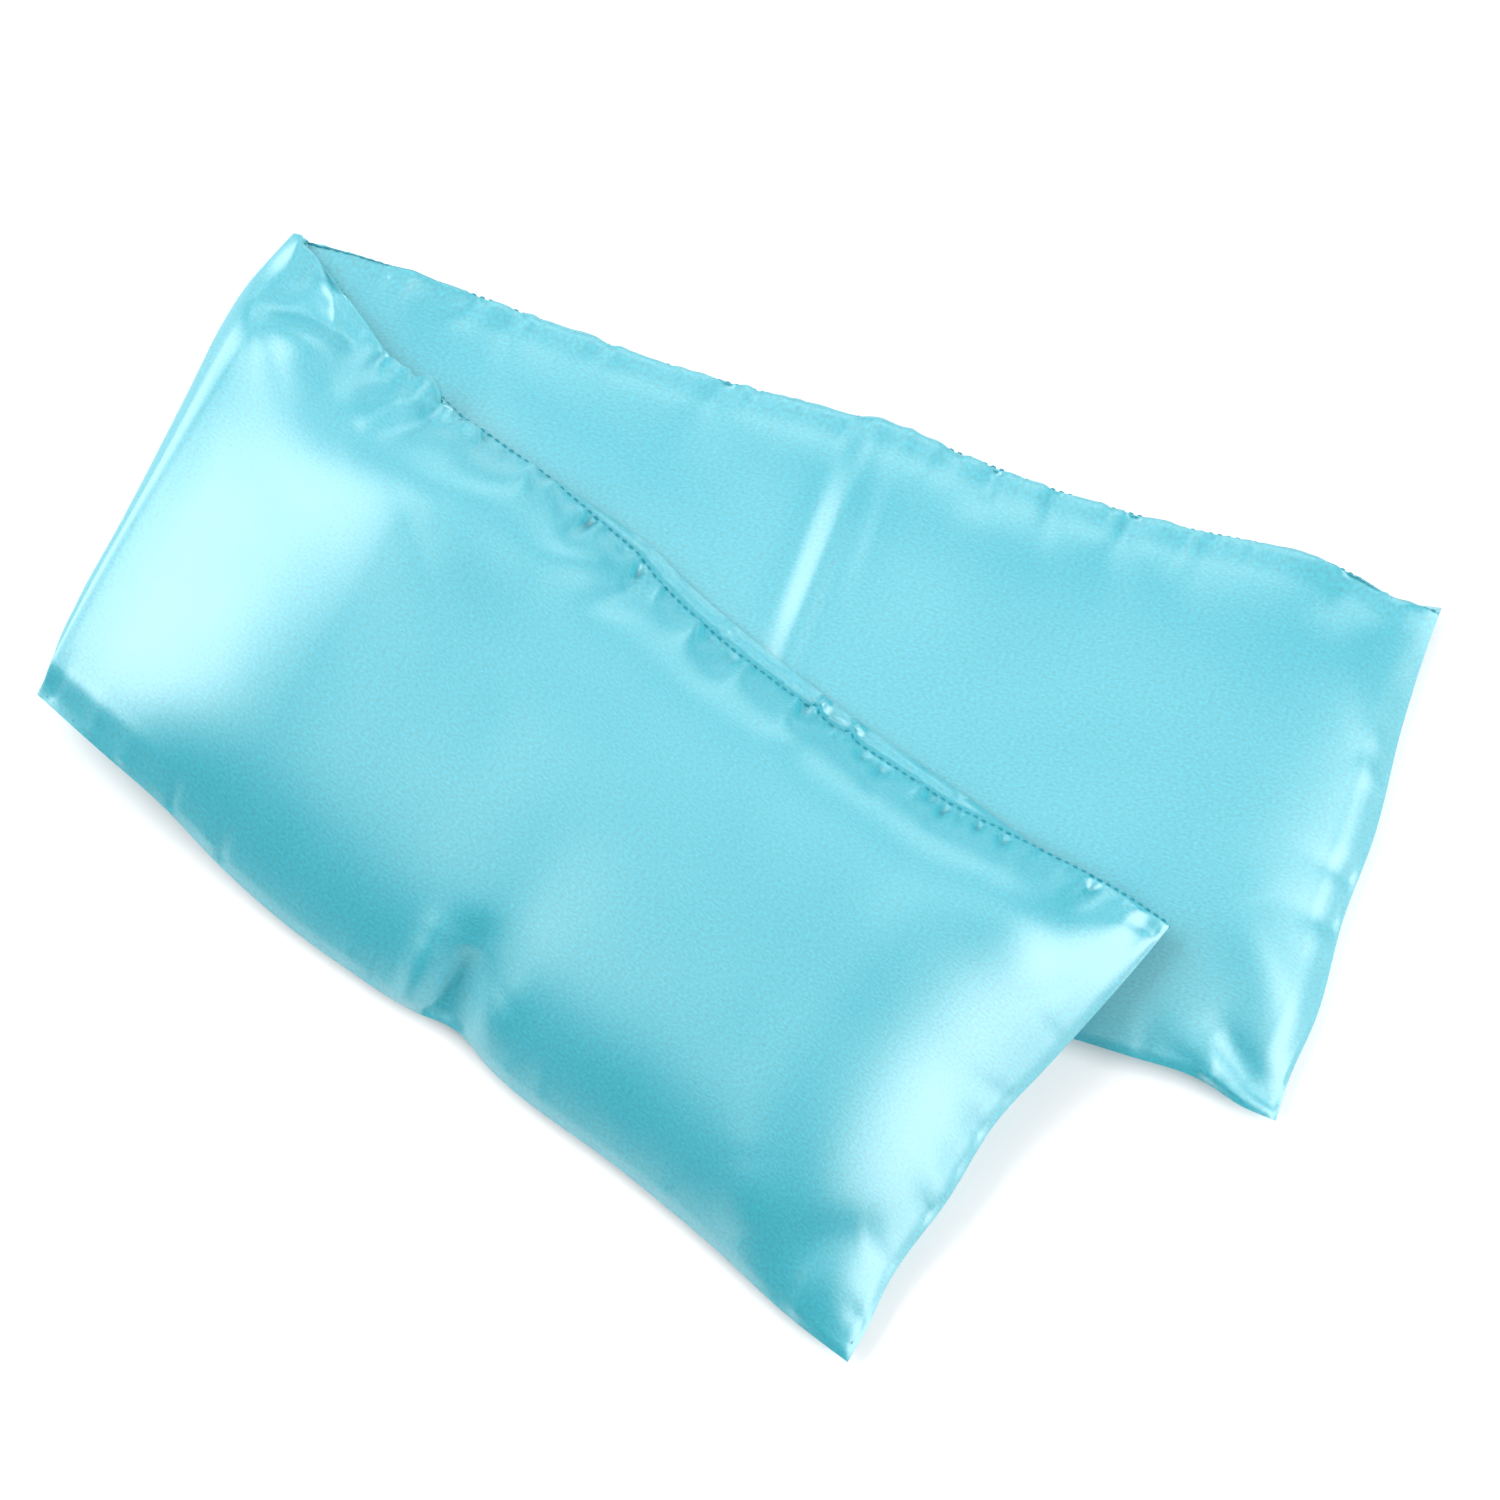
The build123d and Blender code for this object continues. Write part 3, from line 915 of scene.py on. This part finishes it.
liner_outer, liner_inner, liner_flat = inside_layer(LINER_MARGIN, LINER_GAP, LAYER_RIM)
LINERS = {
    "liner_outer": (liner_outer, True, ("lower_liner_under", "fold_liner", "upper_liner_top")),
    "liner_inner": (liner_inner, False, ("lower_liner_top", "upper_liner_under")),
}
for name, (grid, flip, nodes) in LINERS.items():
    liner = strip_object(name, grid, liner_flat, flip)
    finish_soft(liner, COTTON, "liner_cotton", *nodes)

fill_outer, fill_inner, fill_flat = inside_layer(FILL_MARGIN, FILL_GAP, LAYER_RIM)
rows, columns = fill_flat.shape[:2]
fill_points = np.concatenate([fill_outer.reshape(-1, 3), fill_inner.reshape(-1, 3)])
fill_faces = grid_faces(rows, columns, True)
for face in grid_faces(rows, columns, False):
    fill_faces.append(tuple(i + rows * columns for i in face))
seed_fill = mesh_object("seed_fill", fill_points * MM, fill_faces)
blend_flat(seed_fill, np.concatenate([fill_flat.reshape(-1, 3), fill_flat.reshape(-1, 3)]))
weld = bmesh.new()
weld.from_mesh(seed_fill.data)
bmesh.ops.remove_doubles(weld, verts=weld.verts, dist=1e-6)
weld.to_mesh(seed_fill.data)
weld.free()
finish_soft(seed_fill, SEED, "flax_seed", "lower_seed_fill", "fold_seed_fill", "upper_seed_fill")

CAMERA_AZIMUTH = radians(18.6)
CAMERA_ELEVATION = radians(75.0)
CAMERA_DISTANCE = 1.15
TARGET = Vector((0.0033, -0.0195, 0.010))
FOCAL = 127.5

back = Vector(
    (
        sin(CAMERA_AZIMUTH) * cos(CAMERA_ELEVATION),
        -cos(CAMERA_AZIMUTH) * cos(CAMERA_ELEVATION),
        sin(CAMERA_ELEVATION),
    )
)
camera_data = bpy.data.cameras.new("camera")
camera_data.lens = FOCAL
camera = bpy.data.objects.new("camera", camera_data)
camera.location = TARGET + back * CAMERA_DISTANCE
camera.rotation_mode = "QUATERNION"
camera.rotation_quaternion = (-back).to_track_quat("-Z", "Y")
bpy.context.scene.collection.objects.link(camera)
bpy.context.scene.camera = camera

FLOOR_SIZE = 6.0
FLOOR_CORNERS = ((-1, -1), (1, -1), (1, 1), (-1, 1))
floor_points = [(x * FLOOR_SIZE, y * FLOOR_SIZE, 0) for x, y in FLOOR_CORNERS]
floor = mesh_object("floor", floor_points, [(0, 1, 2, 3)])
floor_material = bpy.data.materials.new("floor")
floor_material.use_nodes = True
floor_shader = floor_material.node_tree.nodes["Principled BSDF"]
floor_shader.inputs["Base Color"].default_value = (0.95, 0.95, 0.95, 1)
floor_shader.inputs["Roughness"].default_value = 0.9
floor_shader.inputs["Specular IOR Level"].default_value = 0.1
floor.data.materials.append(floor_material)

world = bpy.data.worlds.new("world")
bpy.context.scene.world = world
world.use_nodes = True
backdrop = world.node_tree.nodes["Background"]
direction = world.node_tree.nodes.new("ShaderNodeTexCoord")
facing = world.node_tree.nodes.new("ShaderNodeVectorMath")
facing.operation = "DOT_PRODUCT"
facing.inputs[1].default_value = (-sin(CAMERA_AZIMUTH), cos(CAMERA_AZIMUTH), 0)
world.node_tree.links.new(direction.outputs["Generated"], facing.inputs[0])
fall = world.node_tree.nodes.new("ShaderNodeMapRange")
fall.inputs["From Min"].default_value = -1.0
fall.inputs["From Max"].default_value = 1.0
fall.inputs["To Min"].default_value = 0.08
fall.inputs["To Max"].default_value = 0.25
world.node_tree.links.new(facing.outputs["Value"], fall.inputs["Value"])
world.node_tree.links.new(fall.outputs["Result"], backdrop.inputs["Strength"])
backdrop.inputs["Color"].default_value = (1, 1, 1, 1)


def softbox(name, place, size, power):
    light = bpy.data.lights.new(name, "AREA")
    light.shape = "RECTANGLE"
    light.size, light.size_y = size
    light.energy = power
    made = bpy.data.objects.new(name, light)
    made.location = place
    made.rotation_mode = "QUATERNION"
    made.rotation_quaternion = (Vector((0, 0, 0)) - Vector(place)).to_track_quat("-Z", "Y")
    bpy.context.scene.collection.objects.link(made)


right = Vector((cos(CAMERA_AZIMUTH), sin(CAMERA_AZIMUTH), 0))
away = Vector((-sin(CAMERA_AZIMUTH), cos(CAMERA_AZIMUTH), 0))
softbox("left_box", -right * 1.05 + away * 0.5 + Vector((0, 0, 1.0)), (1.6, 1.4), 31)
softbox("right_box", right * 1.05 - away * 0.55 + Vector((0, 0, 0.95)), (1.6, 1.3), 29)
softbox("back_box", away * 1.2 + right * 0.35 + Vector((0, 0, 0.75)), (1.1, 0.6), 5)
softbox("over_box", away * 0.17 + right * 0.12 + Vector((0, 0, 0.55)), (0.3, 0.22), 0.22)
bpy.context.scene.view_settings.view_transform = "Standard"
